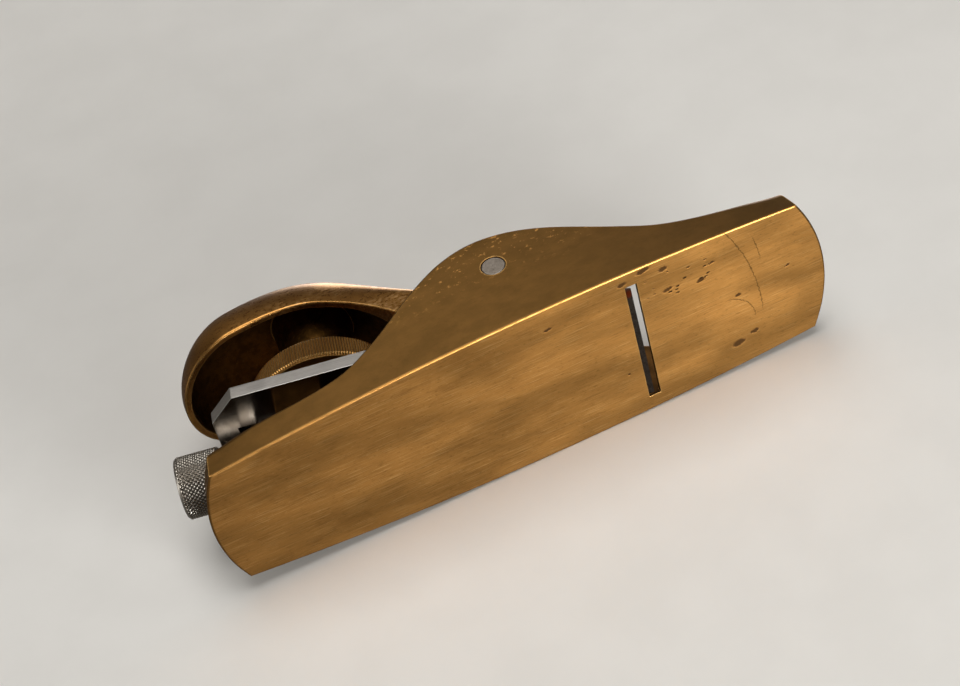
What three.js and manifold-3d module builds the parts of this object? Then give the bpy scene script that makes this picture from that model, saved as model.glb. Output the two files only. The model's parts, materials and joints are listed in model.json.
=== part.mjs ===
// Low-angle bronze block plane: body, blade, rocking lever cap, clamp screw and wheel, depth adjuster.
// Millimetres. +X points to the toe, +Y to the left cheek, +Z up; the sole lies on z = 0.

import * as THREE from 'three';
import { ParametricGeometry } from 'three/addons/geometries/ParametricGeometry.js';
import { mergeVertices } from 'three/addons/utils/BufferGeometryUtils.js';
import Module from 'manifold-3d';

const wasm = await Module();
wasm.setup();

// ---------------------------------------------------------------- driving dimensions

const SOLE_LENGTH = 139.7;
const BODY_WIDTH = 41.1;
const SIDE_RADIUS = 637;             // the long sides bow outwards on this radius
const WIDEST_X = 10;                 // where the bowed sides are widest
const TOE_RADIUS = 40.6;
const HEEL_RADIUS = 37.5;
const CHEEK_ROUND = 0.7;             // rounding of the top edge along the cheeks
const END_ROUND = 2.4;               // and at toe and heel
const SOLE_ROUND = 0.45;             // worn edge where the sole meets the sides
const END_LEAN = 0.22;               // toe and heel faces lean inwards, per millimetre of height
const SIDE_STEPS = 84;
const END_STEPS = 16;
const ROUND_STEPS = 5;
const SOLE_STEPS = 3;
const FLOOR = 4;                     // thickness of the sole in the open well
const WALL = 2.4;                    // thinnest side wall, at the heel
const WELL_HALF = 16.5;              // half width between the cheeks

const BED_ANGLE = THREE.MathUtils.degToRad(12.3);
const BED_GAP = 0.15;
const MOUTH_REAR = 26.05;
const MOUTH_FRONT = 28.7;
const RAMP_BACK = -12;               // the sloped bed runs from the mouth back to here
const THROAT_FRONT = [32.6, 7.7];    // the throat opens forwards from the mouth up to here
const BLOCK = { rear: -77.3, front: -67.3, half: 8, depth: 30 };
const BORE = { rear: -78.3, front: -69.3 };
const DISH = { x: 49, z: 6.9, radius: 52, depth: 1.5, reach: 15 };

const BLADE_WIDTH = 31.75;
const BLADE_THICK = 3.2;
const BLADE_LENGTH = 90.3;
const BLADE_CLIP = 5.5;              // clipped rear corners
const BEVEL = THREE.MathUtils.degToRad(25);
const EDGE_X = 27.4;                 // cutting edge, at rest just inside the mouth
const EDGE_Z = 0.13;

const PIN = { x: 4.73, z: 17.71, radius: 2.58, sunk: 0.1, chamfer: 0.2 };
const FIT = 0.3;                     // running clearance between neighbouring pieces
const PRESS_FIT = 0.08;
const FINEST_EDGE = 0.004;           // edges shorter than this are merged after joining and cutting

const NUT_DROP = 5.75;               // adjuster axis below the blade's underside
const GROOVE_CENTRE = -83.5;         // measured from the cutting edge along the blade
const GROOVE_WIDTH = 4.3;
const GROOVE_DEPTH = 2.1;
const GROOVE_HALF = 7;
const FLANGE = { thick: 3.7, radius: 7.5 };
const STUD_RADIUS = 2.4;
const STUD = { rear: -97, front: -69.6, chamfer: 0.6 };
const KNOB = { rear: -100.4, front: -90.8, radius: 6.65, chamfer: 0.5, neck: 4.4 };

const CLAMP_X = -67.2;               // clamp screw, measured from the cutting edge
const WHEEL_RADIUS = 16;
const WHEEL_BOTTOM = 5.4;            // above the blade's underside
const WHEEL_THICK = 5.7;
const WHEEL_CHAMFER = 0.6;
const SCREW_RADIUS = 3;
const SCREW_FOOT = 4.4;
const SCREW_ABOVE_WHEEL = 11;
const CLAMP_TRAVEL = 2.4;

const CAP_HALF = 15.9;
const PALM_CENTRE = -48.5;           // centre of the rounded palm end
const CAP_REAR = -66;                // profile and curves start behind the palm end
const CAP_FRONT = 34;                // centre of the outer dome's front end, beyond the hook
const CAP_FOOT = -9;
const HOLLOW_FRONT = -27;
const HOLLOW_FOOT = 2;
const RIM_END = -9.4;                // the rim meets the tongue here
const TONGUE_REAR = -8;
const TONGUE_RELIEF = 1;             // gap under the tongue behind its bearing tip
const TONGUE_TIP = [14, 15.5, 19, 19.6];
const TIP_RISE = 1.6;
const HOOK_GAP = 0.35;
const ABOVE_ALL = 60;
const BOSS = { low: 6.4, high: 9.5, height: 22 };
const BORE_HIGH = 25.5;              // clearance hole for the screw, above the blade's underside
const BORE_LOW = 9.5;
const CAP_WALL = 1.6;
const CAP_ROOF = 2.8;
const DOME_POWER = 2.5;              // squareness of the dome's cross-section
const RIM_ROUND = 0.5;               // outer edge of the rim
const RIM_EASE = 0.3;                // inner edge of the rim
const RIM_FLAT = 0.05;               // ground off the bottom of the rim

// ---------------------------------------------------------------- helpers

function solid(geometry) {
  const merged = geometry.clone();
  merged.deleteAttribute('normal');
  merged.deleteAttribute('uv');
  const welded = mergeVertices(merged, 1e-4);
  const index = Array.from(welded.index.array);
  const kept = [];
  for (let i = 0; i < index.length; i += 3) {
    const [a, b, c] = index.slice(i, i + 3);
    if (a !== b && b !== c && c !== a) kept.push(a, b, c);
  }
  const mesh = new wasm.Mesh({
    numProp: 3,
    vertProperties: new Float32Array(welded.attributes.position.array),
    triVerts: new Uint32Array(kept),
  });
  return new wasm.Manifold(mesh);
}

function geometryOf(body) {
  const mesh = body.setTolerance(FINEST_EDGE).getMesh();
  const geometry = new THREE.BufferGeometry();
  geometry.setAttribute('position', new THREE.BufferAttribute(mesh.vertProperties, 3));
  geometry.setIndex(new THREE.BufferAttribute(mesh.triVerts, 1));
  geometry.computeVertexNormals();
  return geometry;
}

// A side profile drawn in x and z, extruded across the plane from -halfWidth to +halfWidth.
function acrossWidth(shape, halfWidth, curveSegments = 12) {
  const options = { depth: 2 * halfWidth, bevelEnabled: false, curveSegments };
  const geometry = new THREE.ExtrudeGeometry(shape, options);
  geometry.rotateX(Math.PI / 2);
  geometry.translate(0, halfWidth, 0);
  return solid(geometry);
}

// A plan outline drawn in x and y, extruded upwards.
function upwards(shape, bottom, top, curveSegments = 24) {
  const options = { depth: top - bottom, bevelEnabled: false, curveSegments };
  const geometry = new THREE.ExtrudeGeometry(shape, options);
  geometry.translate(0, 0, bottom);
  return solid(geometry);
}

function box(low, high) {
  const size = high.map((value, i) => value - low[i]);
  const geometry = new THREE.BoxGeometry(...size);
  geometry.translate(...low.map((value, i) => value + size[i] / 2));
  return solid(geometry);
}

// A closed turned profile of [radius, height] corners about the z axis.
function turned(corners, segments = 48) {
  const points = corners.map(([r, z]) => new THREE.Vector2(r, z));
  const closed = corners[0][0] > 0 ? [...points, points[0]] : points;
  return new THREE.LatheGeometry(closed, segments).rotateX(Math.PI / 2);
}

// The blade frame: origin on the cutting edge, x along the blade to the toe, z square to it.
const bladeFrame = new THREE.Matrix4().makeRotationY(BED_ANGLE).setPosition(EDGE_X, 0, EDGE_Z);

function inBladeFrame(geometry) {
  return geometry.clone().applyMatrix4(bladeFrame);
}

// Turned pieces of the adjuster lie along the blade: their z axis becomes the blade's x axis.
function onAdjusterAxis(geometry) {
  return geometry.clone().rotateY(Math.PI / 2).translate(0, 0, -NUT_DROP);
}

const onCircle = (cx, cy, r, angle) => [cx + r * Math.cos(angle), cy + r * Math.sin(angle)];

function spline(points) {
  const curve = new THREE.CatmullRomCurve3(points.map(([x, z]) => new THREE.Vector3(x, z, 0)));
  const samples = curve.getPoints(400);
  return (x) => {
    const next = samples.findIndex((point) => point.x >= x);
    if (next === -1) return samples.at(-1).y;
    if (next === 0) return samples[0].y;
    const [a, b] = [samples[next - 1], samples[next]];
    return a.y + ((b.y - a.y) * (x - a.x)) / (b.x - a.x);
  };
}

function range(from, to, steps) {
  return Array.from({ length: steps + 1 }, (_, i) => from + ((to - from) * i) / steps);
}

function polygon(points) {
  return new THREE.Shape(points.map(([x, y]) => new THREE.Vector2(x, y)));
}

// ---------------------------------------------------------------- body

const bedAt = (x) => EDGE_Z + (EDGE_X - x) * Math.tan(BED_ANGLE) - BED_GAP / Math.cos(BED_ANGLE);
const bladeTopAt = (x) => bedAt(x) + (BLADE_THICK + BED_GAP) / Math.cos(BED_ANGLE);

// Boat-shaped plan: two bowed sides and arcs at toe and heel, moved inwards by inset.
function planOutline(inset) {
  const half = SOLE_LENGTH / 2;
  const width = (x) => BODY_WIDTH / 2 - (x - WIDEST_X) ** 2 / (2 * SIDE_RADIUS) - inset;
  const toe = (y) => half - TOE_RADIUS + Math.sqrt((TOE_RADIUS - inset) ** 2 - y * y);
  const heel = (y) => HEEL_RADIUS - half - Math.sqrt((HEEL_RADIUS - inset) ** 2 - y * y);
  const corner = (end) => {
    let y = width(end(0));
    for (let i = 0; i < 20; i++) y = width(end(y));
    return y;
  };
  const toeY = corner(toe);
  const heelY = corner(heel);
  const right = range(heel(heelY), toe(toeY), SIDE_STEPS).map((x) => [x, -width(x)]);
  const toeArc = range(-toeY, toeY, END_STEPS).slice(1, -1).map((y) => [toe(y), y]);
  const left = [...right].reverse().map(([x, y]) => [x, -y]);
  const heelArc = range(heelY, -heelY, END_STEPS).slice(1, -1).map((y) => [heel(y), y]);
  return [...right, ...toeArc, ...left, ...heelArc];
}

// Height of the cheeks: low at the heel, a hump at the cross pin, low again at the toe.
const cheekTop = spline([
  [-72, 6.8], [-56, 7.8], [-43, 7.4], [-33, 8.7], [-24.6, 12.9], [-12.3, 21.4], [-4, 25.6],
  [3, 26.9], [10.5, 25.8], [18, 22.6], [30.3, 14.8], [38, 10.4], [46, 7.9], [56, 6.8], [72, 5.7],
]);

// Rounding of the top edge: small along the cheeks, larger at toe and heel.
function edgeRound(x) {
  const toEnd = THREE.MathUtils.smoothstep(Math.abs(x), 44, 64);
  return THREE.MathUtils.lerp(CHEEK_ROUND, END_ROUND, toEnd);
}

// Hull: the plan outline carried up to the cheek line, its top edge rounded inwards.
function hull() {
  const outer = planOutline(0);
  const sole = planOutline(SOLE_ROUND);
  const insets = [CHEEK_ROUND, END_ROUND].map(planOutline);
  const rings = ROUND_STEPS + SOLE_STEPS + 3;
  const surface = (u, v, target) => {
    const i = Math.round(u * outer.length) % outer.length;
    const ring = Math.round(v * rings);
    const [x0, y0] = outer[i];
    const lean = -Math.sign(x0) * END_LEAN * THREE.MathUtils.smoothstep(Math.abs(x0), 56, 66);
    if (ring <= SOLE_STEPS + 1) {
      const rise = (Math.max(ring - 1, 0) / SOLE_STEPS) * (Math.PI / 2);
      const reach = ring === 0 ? 0 : 1;
      const x = THREE.MathUtils.lerp(sole[i][0], x0, Math.sin(rise));
      const y = THREE.MathUtils.lerp(sole[i][1], y0, Math.sin(rise)) * reach;
      target.set(x, y, SOLE_ROUND * (1 - Math.cos(rise)));
      return;
    }
    const round = edgeRound(x0);
    const share = (round - CHEEK_ROUND) / (END_ROUND - CHEEK_ROUND);
    const [x1, y1] = [0, 1].map((k) => THREE.MathUtils.lerp(insets[0][i][k], insets[1][i][k], share));
    const step = Math.min(ring - SOLE_STEPS - 2, ROUND_STEPS);
    const turn = (step / ROUND_STEPS) * (Math.PI / 2);
    const inward = 1 - Math.cos(turn);
    const x = THREE.MathUtils.lerp(x0, x1, inward);
    const y = ring === rings ? 0 : THREE.MathUtils.lerp(y0, y1, inward);
    const z = cheekTop(x1) - round * (1 - Math.sin(turn));
    target.set(x + lean * z, y, z);
  };
  return solid(new ParametricGeometry(surface, outer.length, rings));
}

// Open well between the cheeks: throat and sloped bed in front, low floor behind the ramp.
function well() {
  const front = polygon([
    [MOUTH_REAR, -1], [MOUTH_FRONT, -1], [MOUTH_FRONT, 1], THROAT_FRONT, [45, 8.1], [45, 40],
    [RAMP_BACK - 2, 40], [RAMP_BACK - 2, bedAt(RAMP_BACK)], [RAMP_BACK, bedAt(RAMP_BACK)],
    [MOUTH_REAR, bedAt(MOUTH_REAR)],
  ]);
  const rear = polygon([
    [RAMP_BACK - 1.9, 40], [-90, 40], [-90, FLOOR], [RAMP_BACK - 5, FLOOR],
    [RAMP_BACK - 1.9, bedAt(RAMP_BACK)],
  ]);
  const insideWalls = upwards(polygon(planOutline(WALL)), -1, 45);
  const pocket = acrossWidth(rear, WELL_HALF).intersect(insideWalls);
  return acrossWidth(front, WELL_HALF).add(pocket);
}

// Block at the back of the well: the blade rests on it and the adjuster stud screws into it.
function rearBlock() {
  const { rear, front, half, depth } = BLOCK;
  const block = new THREE.BoxGeometry(front - rear, 2 * half, depth);
  block.translate((front + rear) / 2, 0, -depth / 2 - BED_GAP);
  const radius = STUD_RADIUS + FIT;
  const bore = turned([[0, BORE.rear], [radius, BORE.rear], [radius, BORE.front], [0, BORE.front]], 32);
  const above = box([-90, -20, 1], [0, 20, 60]);
  const drilled = solid(inBladeFrame(onAdjusterAxis(bore)));
  return solid(inBladeFrame(block)).intersect(above).subtract(drilled);
}

// Shallow round dish for a finger on top of the toe.
function fingerDish() {
  const { x, z, radius, depth, reach } = DISH;
  const arc = range(0, Math.asin(reach / radius), 8);
  const profile = arc.map((a) => [radius * Math.sin(a), radius * (1 - Math.cos(a))]);
  const dish = turned([...profile, [reach, 8], [0, 8]], 64);
  return solid(dish.translate(x, 0, z - depth));
}

function bodySolid() {
  const hole = PIN.radius + PRESS_FIT;
  const pinHole = new THREE.CylinderGeometry(hole, hole, 60, 48).translate(PIN.x, 0, PIN.z);
  return hull().subtract(well()).add(rearBlock()).subtract(fingerDish()).subtract(solid(pinHole));
}

function pinSolid() {
  const { radius, chamfer } = PIN;
  const half = BODY_WIDTH / 2 - PIN.sunk;
  const face = radius - chamfer;
  const side = half - chamfer;
  const corners = [[0, -half], [face, -half], [radius, -side], [radius, side], [face, half], [0, half]];
  return solid(turned(corners).rotateX(Math.PI / 2).translate(PIN.x, 0, PIN.z));
}

// ---------------------------------------------------------------- blade

function bladeSolid() {
  const half = BLADE_WIDTH / 2;
  const clip = BLADE_CLIP;
  const rear = -BLADE_LENGTH;
  const plan = polygon([
    [rear, clip - half + 0.1], [rear + clip, -half], [0, -half],
    [0, half], [rear + clip, half], [rear, half - clip - 0.1],
  ]);
  const ground = BLADE_THICK / Math.tan(BEVEL);
  const side = polygon([[rear - 1, 0], [0, 0], [-ground, BLADE_THICK], [rear - 1, BLADE_THICK]]);
  const groove = box(
    [GROOVE_CENTRE - GROOVE_WIDTH / 2, -GROOVE_HALF, -1],
    [GROOVE_CENTRE + GROOVE_WIDTH / 2, GROOVE_HALF, GROOVE_DEPTH],
  );
  return upwards(plan, 0, BLADE_THICK).intersect(acrossWidth(side, 20)).subtract(groove);
}

// ---------------------------------------------------------------- lever cap

// Rim: lower edge of the palm, falling to the blade in front of the clamp screw.
const rimAt = spline([
  [-66, 34.1], [-55, 35.8], [-41, 36.8], [-33, 35.4], [-26.3, 31.3], [-20.8, 26.4],
  [-16.7, 21.5], [-12.5, 16.4], [-9.4, 13], [-6, 9],
]);

// Where the dome springs from the flat sides: the rim at the palm, a raised crease in front.
const springAt = spline([
  [-66, 34.1], [-55, 35.8], [-41, 36.8], [-33, 35.4], [-26.3, 31.3], [-21.4, 29.8],
  [-17.4, 28], [-12.3, 25.2], [-6, 20.6], [0.4, 16.6], [8, 16.4], [60, 16.4],
]);

const crestAt = spline([
  [-66, 45], [-55, 48.4], [-46, 50], [-39, 50.2], [-32, 49], [-25.7, 46], [-21.4, 41.4],
  [-17.4, 36.6], [-12.3, 30.5], [-6, 23.6], [0.4, 17.6], [8, 17.4], [60, 17.4],
]);

// Underside of the cap's side walls: the rim, then the relieved tongue over the blade.
const underAt = (x) => (x < RIM_END ? rimAt(x) : bladeTopAt(x) + TONGUE_RELIEF);

// Long dome between two centres on the x axis: straight sides, round ends and a rounded roof.
// Its side wall turns inwards by tuck (outwards when negative) where it meets the lower edge.
function dome({ rear, front, half, foot, spring, crest, tuck }) {
  const ends = 18;
  const straight = Math.round((front - rear) / 1.7);
  const total = 2 * (ends + straight);
  const outline = (k) => {
    if (k <= straight) return [front + ((rear - front) * k) / straight, 0, 1];
    if (k <= straight + ends) {
      const angle = Math.PI / 2 + (Math.PI * (k - straight)) / ends;
      return [rear, Math.cos(angle), Math.sin(angle)];
    }
    if (k <= 2 * straight + ends) {
      return [rear + ((front - rear) * (k - straight - ends)) / straight, 0, -1];
    }
    const angle = -Math.PI / 2 + (Math.PI * (k - 2 * straight - ends)) / ends;
    return [front, Math.cos(angle), Math.sin(angle)];
  };
  const edgeSteps = 3;
  const roofSteps = 13;
  const rings = edgeSteps + roofSteps + 3;
  const wall = (ring, centre, dx) => {
    const rise = (Math.max(ring - 2, 0) / edgeSteps) * (Math.PI / 2);
    const outward = half - tuck * (1 - Math.sin(rise));
    const lift = Math.abs(tuck) * (1 - Math.cos(rise));
    return [outward, ring === 1 ? foot : underAt(centre + dx * half) + lift];
  };
  const roof = (ring, centre, dx) => {
    const lift = (Math.min(ring - edgeSteps - 3, roofSteps) / roofSteps) * (Math.PI / 2);
    const outward = ring === rings ? 0 : half * Math.max(0, Math.cos(lift)) ** (2 / DOME_POWER);
    const x = centre + dx * outward;
    const base = Math.max(spring(x), underAt(centre + dx * half) + Math.abs(tuck));
    return [outward, base + (crest(x) - base) * Math.sin(lift) ** (2 / DOME_POWER)];
  };
  const surface = (u, v, target) => {
    const [centre, dx, dy] = outline(Math.round(u * total) % total);
    const ring = Math.round(v * rings);
    const part = ring <= edgeSteps + 2 ? wall : roof;
    const [outward, z] = ring === 0 ? [0, foot] : part(ring, centre, dx);
    target.set(centre + dx * outward, dy * outward, z);
  };
  return solid(new ParametricGeometry(surface, total, rings));
}

// Side profile of the cap: rim, relieved tongue that bears on its tip, and the hook for the pin.
function capProfile() {
  const hook = PIN.radius + HOOK_GAP;
  const rim = range(CAP_REAR, RIM_END, 40).map((x) => [x, rimAt(x) + RIM_FLAT]);
  const above = (x, gap) => [x, bladeTopAt(x) + gap];
  const hookArc = range(-Math.PI / 3, -Math.PI, 10).map((a) => onCircle(PIN.x, PIN.z, hook, a));
  const gaps = [TONGUE_RELIEF + RIM_FLAT, FIT, FIT, TIP_RISE];
  const tongue = [above(TONGUE_REAR, gaps[0]), ...TONGUE_TIP.map((x, i) => above(x, gaps[i]))];
  const roof = [[PIN.x - hook, ABOVE_ALL], [CAP_REAR, ABOVE_ALL]];
  return polygon([...rim, ...tongue, ...hookArc, ...roof]);
}

function clampBoss() {
  const { low, high, height } = BOSS;
  const base = WHEEL_BOTTOM + WHEEL_THICK + CLAMP_TRAVEL + FIT;
  const boss = turned([[0, base], [low, base], [high, base + height], [0, base + height]], 32);
  return solid(inBladeFrame(boss.translate(CLAMP_X, 0, 0)));
}

function clampBore() {
  const radius = SCREW_RADIUS + FIT;
  const bore = turned([[0, BORE_LOW], [radius, BORE_LOW], [radius, BORE_HIGH], [0, BORE_HIGH]], 32);
  return solid(inBladeFrame(bore.translate(CLAMP_X, 0, 0)));
}

function capSolid() {
  const outer = dome({
    rear: PALM_CENTRE, front: CAP_FRONT, half: CAP_HALF, foot: CAP_FOOT,
    spring: springAt, crest: crestAt, tuck: RIM_ROUND,
  });
  const hollow = dome({
    rear: PALM_CENTRE, front: HOLLOW_FRONT, half: CAP_HALF - CAP_WALL, foot: HOLLOW_FOOT,
    tuck: -RIM_EASE,
    spring: (x) => rimAt(x) + RIM_EASE + 0.1,
    crest: (x) => crestAt(x) - CAP_ROOF,
  });
  const shell = outer.intersect(acrossWidth(capProfile(), 25)).subtract(hollow);
  return shell.add(clampBoss().intersect(outer)).subtract(clampBore());
}

// ---------------------------------------------------------------- clamp screw and wheel

function screwSolid() {
  const foot = BLADE_THICK + FIT;
  const top = WHEEL_BOTTOM + WHEEL_THICK + SCREW_ABOVE_WHEEL;
  const profile = [
    [0, foot], [SCREW_FOOT - 1.2, foot], [SCREW_FOOT, foot + 0.5], [SCREW_FOOT, WHEEL_BOTTOM - FIT],
    [SCREW_RADIUS, WHEEL_BOTTOM - FIT], [SCREW_RADIUS, top - 0.8], [SCREW_RADIUS - 0.8, top], [0, top],
  ];
  return solid(turned(profile, 32).translate(CLAMP_X, 0, 0));
}

function wheelSolid() {
  const chamfer = WHEEL_CHAMFER;
  const bore = SCREW_RADIUS + FIT;
  const low = WHEEL_BOTTOM;
  const high = WHEEL_BOTTOM + WHEEL_THICK;
  const profile = [
    [bore, low], [WHEEL_RADIUS - chamfer, low], [WHEEL_RADIUS, low + chamfer],
    [WHEEL_RADIUS, high - chamfer], [WHEEL_RADIUS - chamfer, high], [bore, high],
  ];
  return solid(turned(profile, 72).translate(CLAMP_X, 0, 0));
}

// ---------------------------------------------------------------- depth adjuster

function studSolid() {
  const { rear, front, chamfer } = STUD;
  const profile = [
    [0, rear], [STUD_RADIUS - chamfer, rear], [STUD_RADIUS, rear + chamfer],
    [STUD_RADIUS, front], [0, front],
  ];
  return solid(onAdjusterAxis(turned(profile, 32)));
}

// Knurled knob, narrow neck under the blade's end, and the flange that rides in the groove.
function nutSolid() {
  const bore = STUD_RADIUS + FIT;
  const { rear, front, radius, chamfer, neck } = KNOB;
  const flangeRear = GROOVE_CENTRE - FLANGE.thick / 2;
  const flangeFront = GROOVE_CENTRE + FLANGE.thick / 2;
  const profile = [
    [bore, rear], [radius - chamfer, rear], [radius, rear + chamfer],
    [radius, front - chamfer], [radius - chamfer, front], [neck, front],
    [neck, flangeRear], [FLANGE.radius, flangeRear], [FLANGE.radius, flangeFront],
    [bore, flangeFront],
  ];
  return solid(onAdjusterAxis(turned(profile, 48)));
}

// ---------------------------------------------------------------- materials and assembly

const material = (name, color, roughness) =>
  new THREE.MeshStandardMaterial({ name, color, roughness, metalness: 1 });

const bronze = () => material('bronze_casting', '#a07a3c', 0.42);
const brightBronze = () => material('turned_bronze', '#a8824a', 0.38);
const steel = () => material('ground_tool_steel', '#a9a6a0', 0.35);
const stainless = () => material('stainless_steel', '#b9b6ae', 0.3);

function piece(name, body, finish) {
  const mesh = new THREE.Mesh(geometryOf(body), finish);
  mesh.name = name;
  return mesh;
}

const plane = new THREE.Group();
plane.add(piece('body', bodySolid(), bronze()));
plane.add(piece('cross_pin', pinSolid(), steel()));
plane.add(piece('lever_cap', capSolid(), bronze()));

const alongBed = new THREE.Group();
alongBed.rotation.y = BED_ANGLE;
alongBed.position.set(EDGE_X, 0, EDGE_Z);
alongBed.add(piece('blade', bladeSolid(), steel()));
alongBed.add(piece('clamp_screw', screwSolid(), steel()));
alongBed.add(piece('clamp_wheel', wheelSolid(), brightBronze()));
alongBed.add(piece('adjuster_stud', studSolid(), steel()));
alongBed.add(piece('adjuster_nut', nutSolid(), stainless()));
plane.add(alongBed);

export default plane;
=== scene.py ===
"""Low-angle bronze block plane: ground body, palm-shaped lever cap, knurled wheel and knob.

Every length below is in millimetres until mesh_piece() turns it into metres.
+X points to the toe, +Y to the left cheek and +Z up; the sole lies on z = 0.
"""

import json
import math

import bmesh
import bpy
import numpy as np
from mathutils import Matrix, Vector


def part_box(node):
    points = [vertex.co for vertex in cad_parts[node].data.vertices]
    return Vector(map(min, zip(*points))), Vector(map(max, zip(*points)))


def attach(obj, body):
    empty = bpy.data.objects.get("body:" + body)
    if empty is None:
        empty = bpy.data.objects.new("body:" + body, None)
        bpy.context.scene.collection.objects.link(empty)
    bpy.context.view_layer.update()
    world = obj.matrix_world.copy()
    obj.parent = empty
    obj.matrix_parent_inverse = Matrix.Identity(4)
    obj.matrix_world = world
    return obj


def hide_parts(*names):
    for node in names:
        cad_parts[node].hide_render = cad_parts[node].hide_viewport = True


bl_info = {
    "name": "Bronze Block Plane",
    "version": (1, 0, 0),
    "blender": (4, 5, 0),
    "location": "View3D > Sidebar > Block Plane",
    "description": "Builds a small low-angle block plane round its packed frame",
    "category": "Add Mesh",
}

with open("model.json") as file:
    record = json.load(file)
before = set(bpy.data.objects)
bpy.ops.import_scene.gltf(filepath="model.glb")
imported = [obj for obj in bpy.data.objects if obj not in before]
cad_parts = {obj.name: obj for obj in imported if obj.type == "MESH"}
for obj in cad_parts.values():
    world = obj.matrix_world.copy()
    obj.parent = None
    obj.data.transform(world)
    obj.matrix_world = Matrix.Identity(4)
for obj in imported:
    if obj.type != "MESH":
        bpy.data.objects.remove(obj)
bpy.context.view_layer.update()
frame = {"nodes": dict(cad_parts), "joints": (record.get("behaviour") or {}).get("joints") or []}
JOINTS = {joint["name"]: joint for joint in frame["joints"]}
MM = 0.001

# ---------------------------------------------------------------- sizes

BODY_LOW, BODY_HIGH = (np.array(corner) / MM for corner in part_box("body"))
HALF_LENGTH = (BODY_HIGH[0] - BODY_LOW[0]) / 2
HALF_WIDTH = (BODY_HIGH[1] - BODY_LOW[1]) / 2
PIN_LOW, PIN_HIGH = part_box("cross_pin")
PIN_RADIUS = (PIN_HIGH.x - PIN_LOW.x) / MM / 2

# Body plan: sides bowed on one large radius, widest at WIDEST_X, and an arc at each end.
SIDE_RADIUS = 637.0
WIDEST_X = 10.0
TOE_RADIUS, HEEL_RADIUS = 40.6, 37.5
# Rounding of the upper edge on the cheeks and at the ends, and the x that it grows between.
CHEEK_ROUND, END_ROUND = 0.7, 2.4
ROUND_FROM, ROUND_TO = 44, 64
# The end faces lean in by this share of their height, beyond these x.
END_LEAN = 0.22
LEAN_FROM, LEAN_TO = 56, 66
SOLE_ROUND = 0.45
SPINE_INSET = 1.5
# The open well, its walls and floor, and the height that its cutters reach.
FLOOR, WALL, WELL_HALF, CLEAR_OF_TOP = 4.0, 2.4, 16.5, 40
MOUTH_REAR, MOUTH_FRONT = 26.05, 28.7
THROAT_FRONT = [(32.6, 7.7), (45, 8.1)]
RAMP_BACK, RAMP_OVERLAP, RAMP_FOOT = -12.0, 0.1, 5
BED_GAP = 0.15
# Rear block along the blade's line, from its rear to its front face, and its bore.
BLOCK_REAR, BLOCK_FRONT, BLOCK_HALF, BLOCK_FOOT = -77.3, -67.3, 8, 1.0
BORE_RADIUS, BORE_REAR, BORE_FRONT = 2.7, -78.3, -69.3
# Finger dish on the toe: a shallow cap of a sphere.
DISH_X, DISH_TOP, DISH_HALF, DISH_RADIUS, DISH_DEPTH = 49.0, 6.9, 15, 52.0, 1.5
PIN_HOLE_FIT = 0.08

# The blade's frame, from the joints: its cutting edge, its line and its thickness.
ALONG = np.array(JOINTS["blade_feed"]["axis"])
SQUARE = np.array(JOINTS["screw_travel"]["axis"])
BED_ANGLE = math.atan2(-ALONG[2], ALONG[0])
GROOVE_CENTRE = -83.5
NUT_DROP = 5.75
KNOB_POINT = np.array(JOINTS["adjuster_turn"]["pos_m"]) / MM
EDGE = KNOB_POINT - GROOVE_CENTRE * ALONG + NUT_DROP * SQUARE
CLAMP_X = (np.array(JOINTS["wheel_turn"]["pos_m"]) / MM - EDGE) @ ALONG
PIN = np.array(JOINTS["cap_rock"]["pos_m"]) / MM

BLADE_THICK, BLADE_LENGTH, BLADE_HALF, BLADE_CLIP = 3.2, 90.3, 15.875, 5.5
GRIND_ANGLE = math.radians(25)
STAINED_LENGTH = 12
GROOVE_HALF, GROOVE_DEPTH, GROOVE_REACH = 2.15, 2.1, 7
WHEEL_RADIUS, WHEEL_BOTTOM, WHEEL_THICK, WHEEL_CHAMFER = 16.0, 5.4, 5.7, 0.6
SCREW_RADIUS, SCREW_FOOT_RADIUS, SCREW_ABOVE_WHEEL = 3.0, 4.4, 11
STUD_RADIUS, STUD_REAR, STUD_FRONT = 2.4, -97.0, -69.6
KNOB_RADIUS, KNOB_REAR, KNOB_FRONT = 6.65, -100.4, -90.8
NECK_RADIUS, FLANGE_RADIUS, FLANGE_HALF = 4.4, 7.5, 1.85
FIT = 0.3

# Lever cap: a dome whose round end is centred on PALM_CENTRE.
CAP_HALF, CAP_REAR, CAP_FRONT, PALM_CENTRE = 15.9, -66, 34, -48.5
CAP_WALL, CAP_ROOF, HOLLOW_FRONT = 1.6, 2.8, -27
DOME_POWER = 2.5
RIM_ROUND, RIM_EASE, RIM_FLAT = 0.5, 0.3, 0.05
# Past RIM_END the walls stop TONGUE_LIFT above the blade, and the tongue's tip comes within
# FIT of it. Tip: x and height over the blade. The cap clears the pin by HOOK_FIT.
RIM_END, TONGUE_LIFT, HOOK_FIT = -9.4, 1, 0.35
TONGUE_TIP = [(-8, TONGUE_LIFT + RIM_FLAT), (14, TONGUE_LIFT + RIM_FLAT), (15.5, FIT),
              (19, FIT), (19.6, 1.6)]
# Boss for the clamp screw: a cone of these radii above the wheel.
BOSS_LIFT, BOSS_LOW, BOSS_HIGH, BOSS_HEIGHT = 2.4, 6.4, 9.5, 22
BORE_LOW, BORE_HIGH = 9.5, 25.5

# ---------------------------------------------------------------- curves and surfaces


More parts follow.
